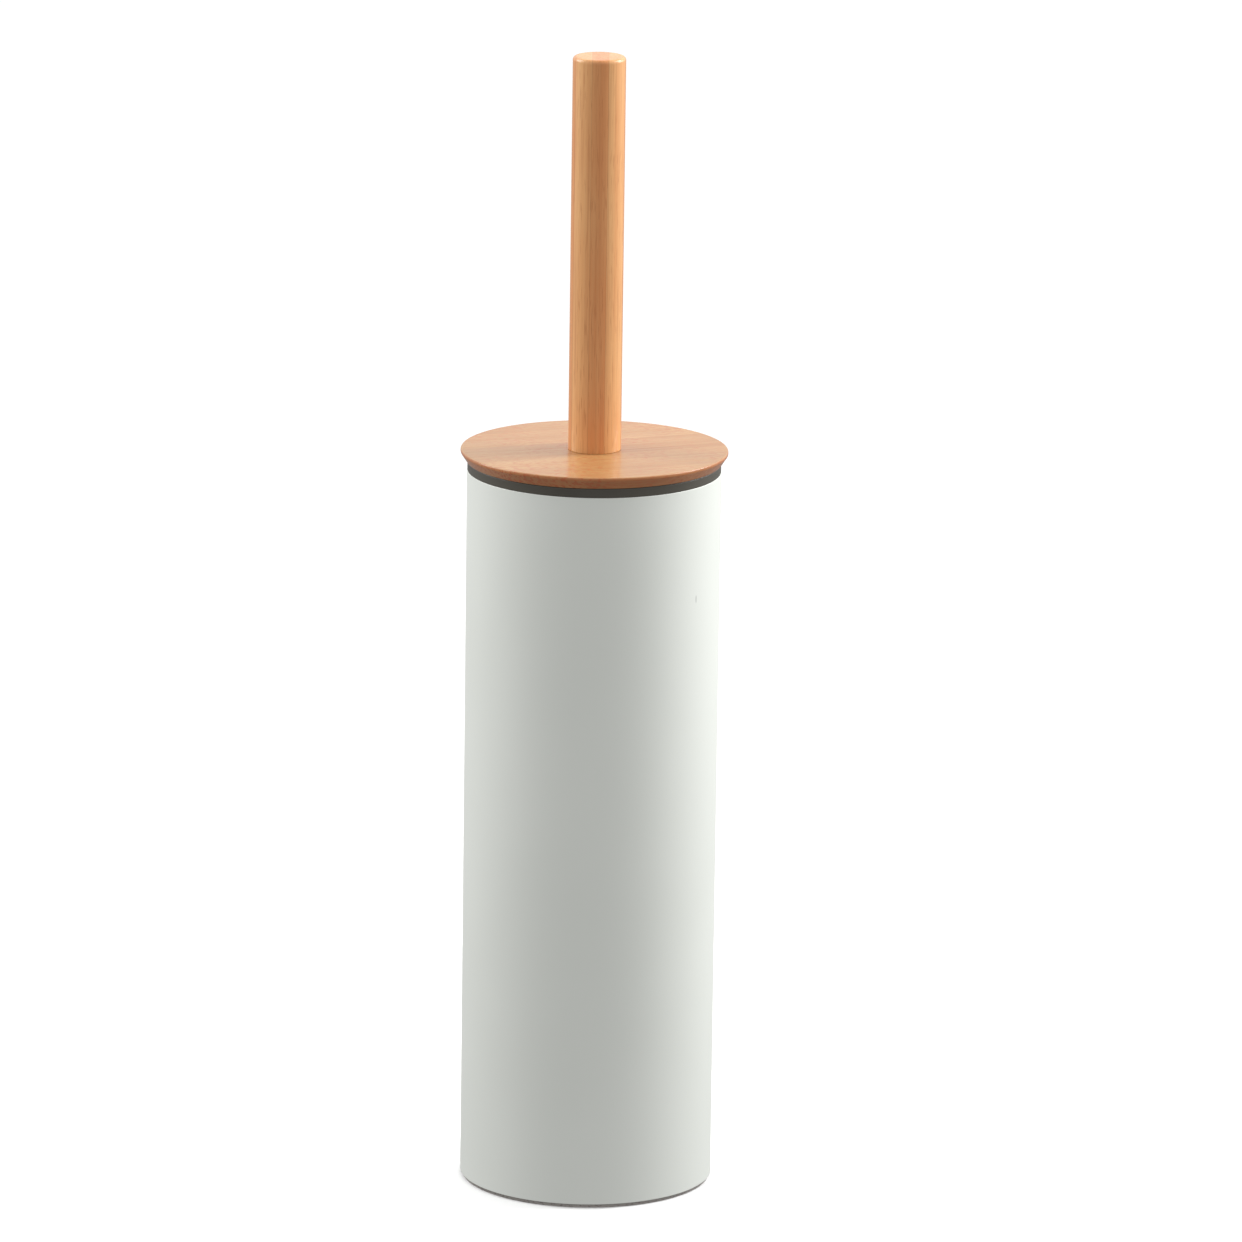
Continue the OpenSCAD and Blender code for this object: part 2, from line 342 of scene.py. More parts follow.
class Recipe:
    """One material's nodes, added by short calls."""

    def __init__(self, name: str) -> None:
        """Makes the material with its main shader.

        Args:
            name: Name of the material.
        """
        self.material = bpy.data.materials.new(name)
        self.material.use_nodes = True
        self.tree = self.material.node_tree
        self.shader = self.tree.nodes["Principled BSDF"]

    def add(self, kind: str, inputs: dict, **settings: object) -> bpy.types.Node:
        """Adds a node, with its settings and its inputs.

        Args:
            kind: The node's type, without its ShaderNode prefix.
            inputs: Input name or number to a value, or to the socket that feeds it.
            **settings: The node's own properties.

        Returns:
            The new node.
        """
        node = self.tree.nodes.new("ShaderNode" + kind)
        for key, value in settings.items():
            setattr(node, key, value)
        for key, value in inputs.items():
            self.feed(node.inputs[key], value)
        return node

    def feed(self, socket: Socket, value: object) -> None:
        """Links a socket to an input, or sets the input to a plain value.

        Args:
            socket: The input.
            value: A number, a vector, a colour or an output socket.
        """
        if isinstance(value, bpy.types.NodeSocket):
            self.tree.links.new(value, socket)
        elif socket.type == "RGBA" and len(value) == 3:
            socket.default_value = (*value, 1)
        else:
            socket.default_value = value

    def set(self, **inputs: object) -> None:
        """Sets or links inputs of the main shader, named with _ for a space.

        Args:
            **inputs: The shader's inputs.
        """
        for key, value in inputs.items():
            self.feed(self.shader.inputs[key.replace("_", " ")], value)

    def place(self) -> Socket:
        """Place in the object's own coordinates, in metres."""
        return self.add("TexCoord", {}).outputs["Object"]

    def mapped(self, vector: Socket, scale: Point, turned: float = 0.0) -> Socket:
        """Turns a place about Z and scales it along each axis.

        Args:
            vector: The place.
            scale: Factor along each axis.
            turned: Angle in radians.

        Returns:
            The mapped place.
        """
        turn_first = self.add("Mapping", {"Vector": vector, "Rotation": (0, 0, turned)})
        scaled = self.add("Mapping", {"Vector": turn_first.outputs[0], "Scale": scale})
        return scaled.outputs[0]

    def noise(self, vector: Socket, scale: float, detail: float = 3, rough: float = 0.5) -> Socket:
        """Smooth noise from 0 to 1.

        Args:
            vector: The place.
            scale: Features per unit of the place.
            detail: Number of finer layers.
            rough: Strength of the finer layers.

        Returns:
            The noise value.
        """
        inputs = {"Vector": vector, "Scale": scale, "Detail": detail, "Roughness": rough}
        return self.add("TexNoise", inputs).outputs["Fac"]

    def calc(self, operation: str, a: object, b: object = 0.0, c: object = 0.0) -> Socket:
        """One sum.

        Args:
            operation: Name of the sum.
            a: First number or socket.
            b: Second number or socket.
            c: Third number or socket.

        Returns:
            The result.
        """
        return self.add("Math", {0: a, 1: b, 2: c}, operation=operation).outputs[0]

    def ramp(
        self, value: Socket, low: float, high: float, start: float = 0, end: float = 1
    ) -> Socket:
        """Smoothly maps a range of a value to another range.

        Args:
            value: The value.
            low: Where the input range starts.
            high: Where the input range ends.
            start: Result at low.
            end: Result at high.

        Returns:
            The mapped value, held within the result range.
        """
        inputs = {"Value": value, "From Min": low, "From Max": high, "To Min": start, "To Max": end}
        return self.add("MapRange", inputs, interpolation_type="SMOOTHSTEP").outputs["Result"]

    def mix(self, share: object, a: object, b: object, blend: str = "MIX") -> Socket:
        """Mixes two colours.

        Args:
            share: How much of the second colour.
            a: First colour.
            b: Second colour.
            blend: How they are blended.

        Returns:
            The mixed colour.
        """
        node = self.add("Mix", {}, data_type="RGBA", blend_type=blend)
        self.feed(node.inputs[MIX_SHARE], share)
        self.feed(node.inputs[MIX_FIRST], a)
        self.feed(node.inputs[MIX_SECOND], b)
        return node.outputs[MIX_RESULT]

    def spot(self, vector: Socket, centre: Point, radii: Point) -> Socket:
        """A soft spot with the shape of an ellipsoid.

        Args:
            vector: The place.
            centre: The spot's centre.
            radii: Its reach along each axis.

        Returns:
            1 at the centre, falling to 0 at the edge.
        """
        moved = self.add("VectorMath", {0: vector, 1: centre}, operation="SUBTRACT").outputs[0]
        scaled = self.add("VectorMath", {0: moved, 1: radii}, operation="DIVIDE").outputs[0]
        length = self.add("VectorMath", {0: scaled}, operation="LENGTH").outputs["Value"]
        return self.ramp(length, 0.5, 1.0, 1.0, 0.0)

    def bump(self, height: Socket, depth: float) -> Socket:
        """Fine relief for the shading.

        Args:
            height: The relief from 0 to 1.
            depth: Its depth in metres.

        Returns:
            The bent normal.
        """
        inputs = {"Height": height, "Distance": depth, "Strength": 1.0}
        return self.add("Bump", inputs).outputs["Normal"]


@dataclass(frozen=True)
class PowderCoat:
    """Matt white powder coat with a faint orange-peel relief, and one small nick."""

    name: str = "matt_white_powder_coat"
    colour: Colour = (0.722, 0.745, 0.702)
    shaded: Colour = (0.702, 0.725, 0.682)
    primer: Colour = (0.45, 0.45, 0.44)
    roughness: float = 0.46
    cloud_scale: float = 14
    peel_scale: float = 900
    peel_depth: float = 0.012 * MM
    grit_scale: float = 4200
    grit_share: float = 0.12
    nick_at: Point = (34.0 * MM, -24.7 * MM, 204.0 * MM)
    nick_reach: Point = (0.6 * MM, 0.6 * MM, 1.7 * MM)
    nick_shade: float = 0.55
    nick_roughness: float = 0.8

    def make(self) -> bpy.types.Material:
        """Builds the material."""
        recipe = Recipe(self.name)
        place = recipe.place()
        cloud = recipe.noise(place, self.cloud_scale, 2)
        peel = recipe.noise(place, self.peel_scale, 2)
        grit = recipe.noise(place, self.grit_scale, 1)
        tone = recipe.mix(recipe.ramp(cloud, 0.35, 0.65), self.shaded, self.colour)
        nick = recipe.spot(place, self.nick_at, self.nick_reach)
        worn = recipe.calc("MULTIPLY", nick, self.nick_shade)
        recipe.set(Base_Color=recipe.mix(worn, tone, self.primer))
        rough = recipe.ramp(peel, 0.3, 0.7, self.roughness - 0.03, self.roughness + 0.05)
        bare = recipe.calc("MULTIPLY", nick, self.nick_roughness)
        recipe.set(Roughness=recipe.calc("MAXIMUM", rough, bare))
        skin = recipe.calc("MULTIPLY_ADD", grit, self.grit_share, peel)
        relief = recipe.calc("SUBTRACT", skin, nick)
        recipe.set(Normal=recipe.bump(relief, self.peel_depth), IOR=1.5)
        return recipe.material


@dataclass(frozen=True)
class Bamboo:
    """Lacquered laminated bamboo: strips of slightly different tone with straight fibres."""

    name: str
    grain: Grain
    strip: float = 5.4 * MM
    strip_start: float = -2.3 * MM
    strip_contrast: float = 0.5
    turned: float = 0.0
    light: Colour = (0.74, 0.40, 0.165)
    dark: Colour = (0.61, 0.212, 0.064)
    fibre: Colour = (0.40, 0.135, 0.040)
    glue: Colour = (0.28, 0.105, 0.036)
    fleck_length: float = 7.0 * MM
    fleck_width: float = 0.43 * MM
    fleck_share: float = 0.4
    fleck_weakest: float = 0.35
    fleck_from: float = 0.58
    fleck_soft: float = 0.12
    streak_per_metre: Point = (7, 420, 420)
    streak_share: float = 0.35
    fibre_per_metre: Point = (22, 1700, 1700)
    fibre_share: float = 0.4
    cloud_scale: float = 30
    patch_scale: float = 55
    mottle: float = 0.15
    tone_step: float = 0.45
    tone_start: float = 0.1
    strip_shift: float = 0.37
    seam_width: float = 0.12 * MM
    seam_share: float = 0.45
    # Painted shade: upright faces are multiplied by this colour because less light falls on them
    # than on the top. White leaves them as they are.
    side_shade_tint: Colour = (1.0, 1.0, 1.0)
    knot_at: Point = (-5.5 * MM, 6.8 * MM, 262.0 * MM)
    knot_reach: Point = (3.2 * MM, 3.2 * MM, 2.2 * MM)
    knot_share: float = 0.7
    lacquer: float = 0.5
    lacquer_roughness: float = 0.18
    lacquer_wave: float = 0.05 * MM
    grain_depth: float = 0.012 * MM

    def along_grain(self, recipe: Recipe) -> Socket:
        """Places with the fibres along X and the strips side by side along Y, in metres.

        Args:
            recipe: The material's nodes.

        Returns:
            The reordered place.
        """
        place = recipe.place()
        if self.grain is Grain.LEVEL:
            return recipe.mapped(place, (1, 1, 1), self.turned)
        parts = recipe.add("SeparateXYZ", {0: place})
        inputs = {"X": parts.outputs["Z"], "Y": parts.outputs["X"], "Z": parts.outputs["Y"]}
        return recipe.add("CombineXYZ", inputs).outputs[0]

    def flecks(self, recipe: Recipe, place: Socket, own: Socket) -> Socket:
        """Shows the short dark ends of the fibre bundles, thicker in some patches.

        Args:
            recipe: The material's nodes.
            place: The place along the grain.
            own: The same place, moved by a different amount in each strip.

        Returns:
            How dark the flecks are, from 0 to their full share.
        """
        per_metre = (1 / self.fleck_length, 1 / self.fleck_width, 1 / self.fleck_width)
        dash = recipe.noise(recipe.mapped(own, per_metre), 1, 1, 0.4)
        patch = recipe.noise(place, self.patch_scale, 2)
        weakest = self.fleck_weakest * self.fleck_share
        strength = recipe.ramp(patch, 0.35, 0.65, weakest, self.fleck_share)
        shown = recipe.ramp(dash, self.fleck_from, self.fleck_from + self.fleck_soft)
        return recipe.calc("MULTIPLY", shown, strength)

    def paint_side_shade(self, recipe: Recipe, tone: Socket) -> Socket:
        """Tints the faces that stand upright with painted shade.

        Args:
            recipe: The material's nodes.
            tone: The colour before.

        Returns:
            The colour after.
        """
        facing = recipe.add("SeparateXYZ", {0: recipe.add("NewGeometry", {}).outputs["Normal"]})
        level = recipe.calc("ABSOLUTE", facing.outputs["Z"])
        side = recipe.ramp(level, 0.5, 0.9, 1.0, 0.0)
        return recipe.mix(side, tone, recipe.mix(1.0, tone, self.side_shade_tint, "MULTIPLY"))

    def make(self) -> bpy.types.Material:
        """Builds the material."""
        recipe = Recipe(self.name)
        place = self.along_grain(recipe)
        parts = recipe.add("SeparateXYZ", {0: place})
        from_start = recipe.calc("SUBTRACT", parts.outputs["Y"], self.strip_start)
        across = recipe.calc("DIVIDE", from_start, self.strip)
        number = recipe.calc("FLOOR", across)
        stepped = recipe.calc("MULTIPLY_ADD", number, self.tone_step, self.tone_start)
        own_tone = recipe.calc("FRACT", stepped)
        shift = recipe.calc("MULTIPLY", number, self.strip_shift)
        moved = recipe.add("CombineXYZ", {"X": shift, "Y": shift, "Z": 0.0}).outputs[0]
        own = recipe.add("VectorMath", {0: place, 1: moved}, operation="ADD").outputs[0]

        streak = recipe.noise(recipe.mapped(own, self.streak_per_metre), 1, 3, 0.55)
        fibre = recipe.noise(recipe.mapped(own, self.fibre_per_metre), 1, 3, 0.6)
        cloud = recipe.noise(place, self.cloud_scale, 2)
        seam = recipe.calc("ABSOLUTE", recipe.calc("SUBTRACT", recipe.calc("FRACT", across), 0.5))
        line = recipe.ramp(seam, 0.5 - self.seam_width / self.strip, 0.5)

        share = recipe.ramp(own_tone, 0.0, 0.6, 0.0, self.strip_contrast)
        streaks = recipe.ramp(streak, 0.3, 0.7)
        share = recipe.calc("MULTIPLY_ADD", streaks, self.streak_share, share)
        share = recipe.calc("MULTIPLY_ADD", recipe.ramp(cloud, 0.3, 0.7), self.mottle, share)
        tone = recipe.mix(share, self.dark, self.light)
        tone = recipe.mix(recipe.ramp(fibre, 0.48, 0.75, 0.0, self.fibre_share), tone, self.fibre)
        tone = recipe.mix(self.flecks(recipe, place, own), tone, self.fibre)
        tone = recipe.mix(recipe.calc("MULTIPLY", line, self.seam_share), tone, self.glue)
        knot = recipe.spot(recipe.place(), self.knot_at, self.knot_reach)
        tone = recipe.mix(recipe.calc("MULTIPLY", knot, self.knot_share), tone, self.glue)
        recipe.set(Base_Color=self.paint_side_shade(recipe, tone))

        recipe.set(Roughness=recipe.ramp(fibre, 0.3, 0.7, 0.42, 0.55), Specular_IOR_Level=0.3)
        recipe.set(Coat_Weight=self.lacquer, Coat_Roughness=self.lacquer_roughness, Coat_IOR=1.5)
        relief = recipe.calc("SUBTRACT", recipe.calc("MULTIPLY", fibre, -0.5), line)
        recipe.set(Normal=recipe.bump(relief, self.grain_depth))
        recipe.set(Coat_Normal=recipe.bump(cloud, self.lacquer_wave))
        return recipe.material


@dataclass(frozen=True)
class MouldedPlastic:
    """Dark injection-moulded plastic with a fine spark-eroded grain."""

    name: str
    colour: Colour = (0.054, 0.049, 0.038)
    roughness: float = 0.42
    lighter: float = 1.25
    cloud_scale: float = 40
    grain_scale: float = 2600
    grain_depth: float = 0.01 * MM

    def make(self) -> bpy.types.Material:
        """Builds the material."""
        recipe = Recipe(self.name)
        place = recipe.place()
        cloud = recipe.noise(place, self.cloud_scale, 3)
        grain = recipe.noise(place, self.grain_scale, 2)
        lighter = tuple(self.lighter * part for part in self.colour)
        recipe.set(Base_Color=recipe.mix(recipe.ramp(cloud, 0.3, 0.7), self.colour, lighter))
        rough = recipe.ramp(grain, 0.3, 0.7, self.roughness - 0.05, self.roughness + 0.07)
        recipe.set(Roughness=rough)
        recipe.set(Normal=recipe.bump(grain, self.grain_depth), IOR=1.49)
        return recipe.material


@dataclass(frozen=True)
class SatinSteel:
    """Stainless steel tube with a lengthwise satin finish, tinted warm by a painted reflection."""

    name: str = "satin_stainless_steel"
    # Both tones are the steel's own grey, tinted warm as a painted reflection of warm surroundings.
    # The clouding mixes the two at random.
    colour: Colour = (0.80, 0.73, 0.67)
    worn: Colour = (0.74, 0.67, 0.61)
    roughness: float = 0.27
    anisotropy: float = 0.45
    cloud_per_metre: Point = (60, 60, 12)
    scratch_per_metre: Point = (2400, 2400, 16)
    scratch_depth: float = 0.0008 * MM

    def make(self) -> bpy.types.Material:
        """Builds the material."""
        recipe = Recipe(self.name)
        place = recipe.place()
        scratch = recipe.noise(recipe.mapped(place, self.scratch_per_metre), 1, 3, 0.6)
        cloud = recipe.noise(recipe.mapped(place, self.cloud_per_metre), 1, 2)
        recipe.set(Base_Color=recipe.mix(recipe.ramp(cloud, 0.3, 0.7), self.worn, self.colour))
        recipe.set(Metallic=1.0, Anisotropic=self.anisotropy)
        rough = recipe.ramp(scratch, 0.25, 0.75, self.roughness - 0.03, self.roughness + 0.06)
        recipe.set(Roughness=rough)
        recipe.set(Normal=recipe.bump(scratch, self.scratch_depth))
        return recipe.material


@dataclass(frozen=True)
class ZincPlate:
    """Bright zinc plate on steel, a little clouded."""

    name: str
    colour: Colour = (0.62, 0.63, 0.62)
    clouded: Colour = (0.50, 0.50, 0.46)
    roughness: float = 0.3
    cloud_scale: float = 180
    fine_scale: float = 2200
    fine_depth: float = 0.004 * MM

    def make(self) -> bpy.types.Material:
        """Builds the material."""
        recipe = Recipe(self.name)
        place = recipe.place()
        cloud = recipe.noise(place, self.cloud_scale, 4)
        fine = recipe.noise(place, self.fine_scale, 2)
        recipe.set(Base_Color=recipe.mix(recipe.ramp(cloud, 0.35, 0.65), self.clouded, self.colour))
        recipe.set(Metallic=1.0)
        rough = recipe.ramp(cloud, 0.3, 0.7, self.roughness + 0.12, self.roughness - 0.06)
        recipe.set(Roughness=rough)
        recipe.set(Normal=recipe.bump(fine, self.fine_depth))
        return recipe.material


@dataclass(frozen=True)
class Silicone:
    """Soft black moulded silicone with a faint skin."""

    name: str = "black_silicone"
    colour: Colour = (0.0075, 0.0070, 0.0068)
    dusted: Colour = (0.013, 0.012, 0.0115)
    roughness: float = 0.4
    cloud_scale: float = 90
    skin_scale: float = 1500
    skin_depth: float = 0.012 * MM

    def make(self) -> bpy.types.Material:
        """Builds the material."""
        recipe = Recipe(self.name)
        place = recipe.place()
        cloud = recipe.noise(place, self.cloud_scale, 3)
        skin = recipe.noise(place, self.skin_scale, 2)
        recipe.set(Base_Color=recipe.mix(recipe.ramp(cloud, 0.35, 0.7), self.colour, self.dusted))
        rough = recipe.ramp(skin, 0.3, 0.7, self.roughness - 0.05, self.roughness + 0.1)
        recipe.set(Roughness=rough)
        recipe.set(Normal=recipe.bump(skin, self.skin_depth), IOR=1.41, Specular_IOR_Level=0.36)
        return recipe.material


@dataclass(frozen=True)
class FoamRubber:
    """Closed-cell foam rubber with small open cells on its skin, darkened with painted shade."""

    name: str = "grey_foam_rubber"
    colour: Colour = (0.34, 0.315, 0.295)
    # Painted shade: the open cells take this darker grey because shade falls inside them.
    cell: Colour = (0.16, 0.145, 0.135)
    cells: float = 1400
    cell_depth: float = 0.06 * MM
    worn_scale: float = 400

    def make(self) -> bpy.types.Material:
        """Builds the material."""
        recipe = Recipe(self.name)
        place = recipe.place()
        inputs = {"Vector": place, "Scale": self.cells, "Randomness": 1.0}
        wall = recipe.add("TexVoronoi", inputs).outputs["Distance"]
        recipe.set(Base_Color=recipe.mix(recipe.ramp(wall, 0.1, 0.5), self.cell, self.colour))
        worn = recipe.noise(place, self.worn_scale, 2)
        recipe.set(Roughness=recipe.ramp(worn, 0.3, 0.7, 0.8, 0.95))
        recipe.set(Normal=recipe.bump(wall, self.cell_depth))
        return recipe.material


@dataclass(frozen=True)
class StudioFloor:
    """Plain pale studio floor."""

    name: str = "pale_studio_floor"
    colour: Colour = (0.97, 0.97, 0.97)
    darker: float = 0.99
    cloud_scale: float = 2

    def make(self) -> bpy.types.Material:
        """Builds the material."""
        recipe = Recipe(self.name)
        faint = recipe.noise(recipe.place(), self.cloud_scale, 2)
        darker = tuple(self.darker * part for part in self.colour)
        recipe.set(Base_Color=recipe.mix(faint, darker, self.colour))
        recipe.set(Roughness=0.95, Specular_IOR_Level=0.1)
        return recipe.material


# ---------------------------------------------------------------------------
# The holder
# ---------------------------------------------------------------------------


@dataclass
class Holder:
    """The steel tube on its pressed base, with the foam pad it stands on."""

    wall: float = 0.5 * MM
    edge_round: float = 0.22 * MM
    pan_sheet: float = 0.5 * MM
    pan_bend: float = 1.6 * MM
    pan_edge_share: float = 0.45
    pad_round: float = 0.3 * MM
    steps: int = 192
    pieces: dict[str, bpy.types.Object] = field(default_factory=dict)

    def build_shell(self) -> None:
        """Turns the steel tube, open at both ends."""
        span = Span.of("shell")
        inner = span.radius - self.wall
        bends = [
            Bend(span.radius, span.low, self.edge_round),
            Bend(span.radius, span.high, self.edge_round),
            Bend(inner, span.high, self.edge_round),
            Bend(inner, span.low, self.edge_round),
        ]
        self.pieces["shell"] = turn("holder_shell", bends, True, self.steps)

    def build_base(self) -> None:
        """Turns the pressed pan, with a rounded bend below its flange, and the foam pad."""
        pan = Span.of("base_pan")
        sheet = self.pan_sheet
        edge = self.pan_edge_share * sheet
        bends = [
            Bend(0, pan.low),
            Bend(pan.radius, pan.low, self.pan_bend),
            Bend(pan.radius, pan.high, edge),
            Bend(pan.radius - sheet, pan.high, edge),
            Bend(pan.radius - sheet, pan.low + sheet, self.pan_bend - sheet),
            Bend(0, pan.low + sheet),
        ]
        self.pieces["base_pan"] = turn("pressed_base", bends, False, self.steps)
        pad = Span.of("base_pad")
        bends = [
            Bend(0, pad.low),
            Bend(pad.radius, pad.low, self.pad_round),
            Bend(pad.radius, pad.high, self.pad_round),
            Bend(0, pad.high),
        ]
        self.pieces["base_pad"] = turn("foot_pad", bends, False, self.steps)

    def build(self) -> None:
        """Builds the holder's pieces."""
        self.build_shell()
        self.build_base()

    def dress(self) -> None:
        """Finishes the holder's pieces."""
        coat = PowderCoat().make()
        inside = PowderCoat("coated_base_sheet", nick_at=NOWHERE).make()
        foam = FoamRubber().make()
        settle(self.pieces["shell"], Body.HOLDER, Slot.WHITE_POWDER_COAT, coat, "shell")
        settle(self.pieces["base_pan"], Body.HOLDER, Slot.BASE_SHEET, inside, "base_pan")
        settle(self.pieces["base_pad"], Body.HOLDER, Slot.FOOT_PAD, foam, "base_pad")


@dataclass
class Liner:
    """The plastic liner, which hangs in the tube by its rim and lifts out."""

    rim_round: float = 0.45 * MM
    neck_gap: float = 0.2 * MM
    neck_wall: float = 0.6 * MM
    neck_height: float = 4.0 * MM
    step_height: float = 1.0 * MM
    side_gap: float = 0.5 * MM
    foot_radius: float = 40.4 * MM
    wall: float = 1.0 * MM
    floor: float = 1.2 * MM
    corner: float = 3.0 * MM
    step_round: float = 2.0 * MM
    inner_step_round: float = 1.0 * MM
    neck_round: float = 0.5 * MM
    seat_round: float = 0.1 * MM
    rim_under_round: float = 0.2 * MM
    mouth_round: float = 0.3 * MM
    steps: int = 192
    piece: bpy.types.Object | None = None

    def build(self) -> None:
        """Turns the liner as one thin wall with a rim."""
        span = Span.of("liner")
        shell = Span.of("shell")
        tube_inside = shell.radius - Holder.wall
        neck = tube_inside - self.neck_gap
        neck_z = span.high - self.neck_height
        step_z = neck_z - self.step_height
        top = tube_inside - self.side_gap
        inner_foot = self.foot_radius - self.wall
        floor_z = span.low + self.floor
        bends = [
            Bend(0, span.low),
            Bend(self.foot_radius, span.low, self.corner),
            Bend(top, step_z, self.step_round),
            Bend(neck, neck_z, self.neck_round),
            Bend(neck, shell.high, self.seat_round),
            Bend(span.radius, shell.high, self.rim_under_round),
            Bend(span.radius, span.high, self.rim_round),
            Bend(neck - self.neck_wall, span.high, self.mouth_round),
            Bend(neck - self.neck_wall, neck_z, self.neck_round),
            Bend(top - self.wall, step_z, self.inner_step_round),
            Bend(inner_foot, floor_z, self.corner - self.wall),
            Bend(0, floor_z),
        ]
        self.piece = turn("lift_out_liner", bends, False, self.steps)

    def dress(self) -> None:
        """Finishes the liner."""
        plastic = MouldedPlastic("dark_liner_plastic").make()
        settle(self.piece, Body.LINER, Slot.LINER_PLASTIC, plastic, "liner")


# ---------------------------------------------------------------------------
# The brush
# ---------------------------------------------------------------------------


@dataclass
class LidAndHandle:
    """The bamboo lid with its plug, and the bamboo handle bolted on it."""

    plug_radius: float = 40.45 * MM
    disc_height: float = 4.0 * MM
    disc_edge: float = 1.0 * MM
    disc_taper: float = 2.0 * MM
    edge_round: float = 0.5 * MM
    side_round: float = 0.6 * MM
    under_round: float = 0.35 * MM
    plug_round: float = 0.4 * MM
    socket_round: float = 0.25 * MM
    inner_round: float = 0.15 * MM
    socket_radius: float = 8.6 * MM
    web: float = 3.0 * MM
    bolt_hole: float = 3.3 * MM
    handle_hole: float = 3.05 * MM
    handle_hole_depth: float = 29.0 * MM
    handle_round: float = 1.2 * MM
    handle_foot_round: float = 0.2 * MM
    steps: int = 192
    handle_steps: int = 96
    pieces: dict[str, bpy.types.Object] = field(default_factory=dict)

    def build(self) -> None:
        """Turns the lid and the handle."""
        lid = Span.of("lid")
        under = lid.high - self.disc_height
        web_z = lid.high - self.web
        bends = [
            Bend(self.bolt_hole, web_z, self.inner_round),
            Bend(self.bolt_hole, lid.high),
            Bend(lid.radius, lid.high, self.edge_round),
            Bend(lid.radius, lid.high - self.disc_edge, self.side_round),
            Bend(lid.radius - self.disc_taper, under, self.under_round),
            Bend(self.plug_radius, under, self.inner_round),
            Bend(self.plug_radius, lid.low, self.plug_round),
            Bend(self.socket_radius, lid.low, self.socket_round),
            Bend(self.socket_radius, web_z, self.inner_round),
        ]
        self.pieces["lid"] = turn("bamboo_lid", bends, True, self.steps)
        handle = Span.of("handle")
        hole_z = handle.low + self.handle_hole_depth
        bends = [
            Bend(0, hole_z),
            Bend(self.handle_hole, hole_z),
            Bend(self.handle_hole, handle.low),
            Bend(handle.radius, handle.low, self.handle_foot_round),
            Bend(handle.radius, handle.high, self.handle_round),
            Bend(0, handle.high),
        ]
        self.pieces["handle"] = turn("bamboo_handle", bends, False, self.handle_steps)

    def dress(self) -> None:
        """Finishes the lid, the handle and the bolt that joins them."""
        lid = Bamboo(
            "lacquered_bamboo_lid",
            Grain.LEVEL,
            turned=math.radians(-20),
            strip=19.5 * MM,
            strip_start=-8 * MM,
            strip_contrast=0.25,
            light=(0.470, 0.262, 0.098),
            dark=(0.350, 0.163, 0.053),
            fleck_length=2.4 * MM,
            fleck_width=0.8 * MM,
            fleck_share=0.95,
            fleck_from=0.50,
            mottle=0.45,
            knot_at=NOWHERE,
            # Painted shade: the lid's side and plug are tinted darker and redder than its top.
            side_shade_tint=(1.0, 0.74, 0.70),
        ).make()
        handle = Bamboo("lacquered_bamboo_handle", Grain.UPRIGHT).make()
        settle(self.pieces["lid"], Body.BRUSH, Slot.BAMBOO, lid, "lid")
        settle(self.pieces["handle"], Body.BRUSH, Slot.BAMBOO, handle, "handle")
        dress_node("hanger_bolt", ZincPlate("zinc_plated_bolt").make())


@dataclass
class Stem:
    """The steel stem between the lid and the head, staked to its bottom plug by dimples."""

    wall: float = 0.5 * MM
    end_round: float = 0.2 * MM
    dimple_lift: float = 4.1 * MM
    dimple_depth: float = 0.7 * MM
    dimple_reach: float = 2.1 * MM
    dimple_count: int = 3
    dimple_first: float = math.radians(-73)
    row_height: float = 0.3 * MM
    rows: int = 20
    steps: int = 160
    piece: bpy.types.Object | None = None

    def build(self) -> None:
        """Turns the tube with close rows near its foot, then presses the dimples in."""
        span = Span.of("stem_tube")
        inner = span.radius - self.wall
        low = span.low + self.dimple_lift - self.row_height * self.rows / 2
        heights = [low + i * self.row_height for i in range(self.rows + 1)]
        bends = [Bend(span.radius, span.low, self.end_round)]
        bends += [Bend(span.radius, z) for z in heights]
        bends += [
            Bend(span.radius, span.high, self.end_round),
            Bend(inner, span.high, self.end_round),
        ]
        bends += [Bend(inner, z) for z in reversed(heights)]
        bends += [Bend(inner, span.low, self.end_round)]
        self.piece = turn("steel_stem", bends, True, self.steps)
        for i in range(self.dimple_count):
            angle = self.dimple_first + i * FULL_TURN / self.dimple_count
            self.press_dimple(span, angle)

    def press_dimple(self, span: Span, angle: float) -> None:
        """Pushes a round dimple into the tube's wall.

        Args:
            span: The tube's place.
            angle: Direction of the dimple about Z.
        """
        outward = Vector((math.cos(angle), math.sin(angle), 0))
        pick(self.piece)
        bpy.ops.object.mode_set(mode="EDIT")
        bpy.ops.mesh.select_all(action="DESELECT")
        shape = bmesh.from_edit_mesh(self.piece.data)
        for radius in (span.radius, span.radius - self.wall):
            target = outward * radius + Vector((0, 0, span.low + self.dimple_lift))
            nearest = min(shape.verts, key=lambda v: (v.co - target).length)
            nearest.select = True
        bmesh.update_edit_mesh(self.piece.data)
        bpy.ops.transform.translate(
            value=tuple(-outward * self.dimple_depth),
            use_proportional_edit=True,
            proportional_edit_falloff="SMOOTH",
            proportional_size=self.dimple_reach,
        )
        bpy.ops.object.mode_set(mode="OBJECT")

    def dress(self) -> None:
        """Finishes the tube and its two plugs."""
        settle(self.piece, Body.BRUSH, Slot.STAINLESS, SatinSteel().make(), "stem_tube")
        dress_node("stem_top_insert", ZincPlate("zinc_plated_plug").make())
        plug = MouldedPlastic("black_plug_plastic", (0.03, 0.03, 0.03)).make()
        dress_node("stem_bottom_insert", plug)


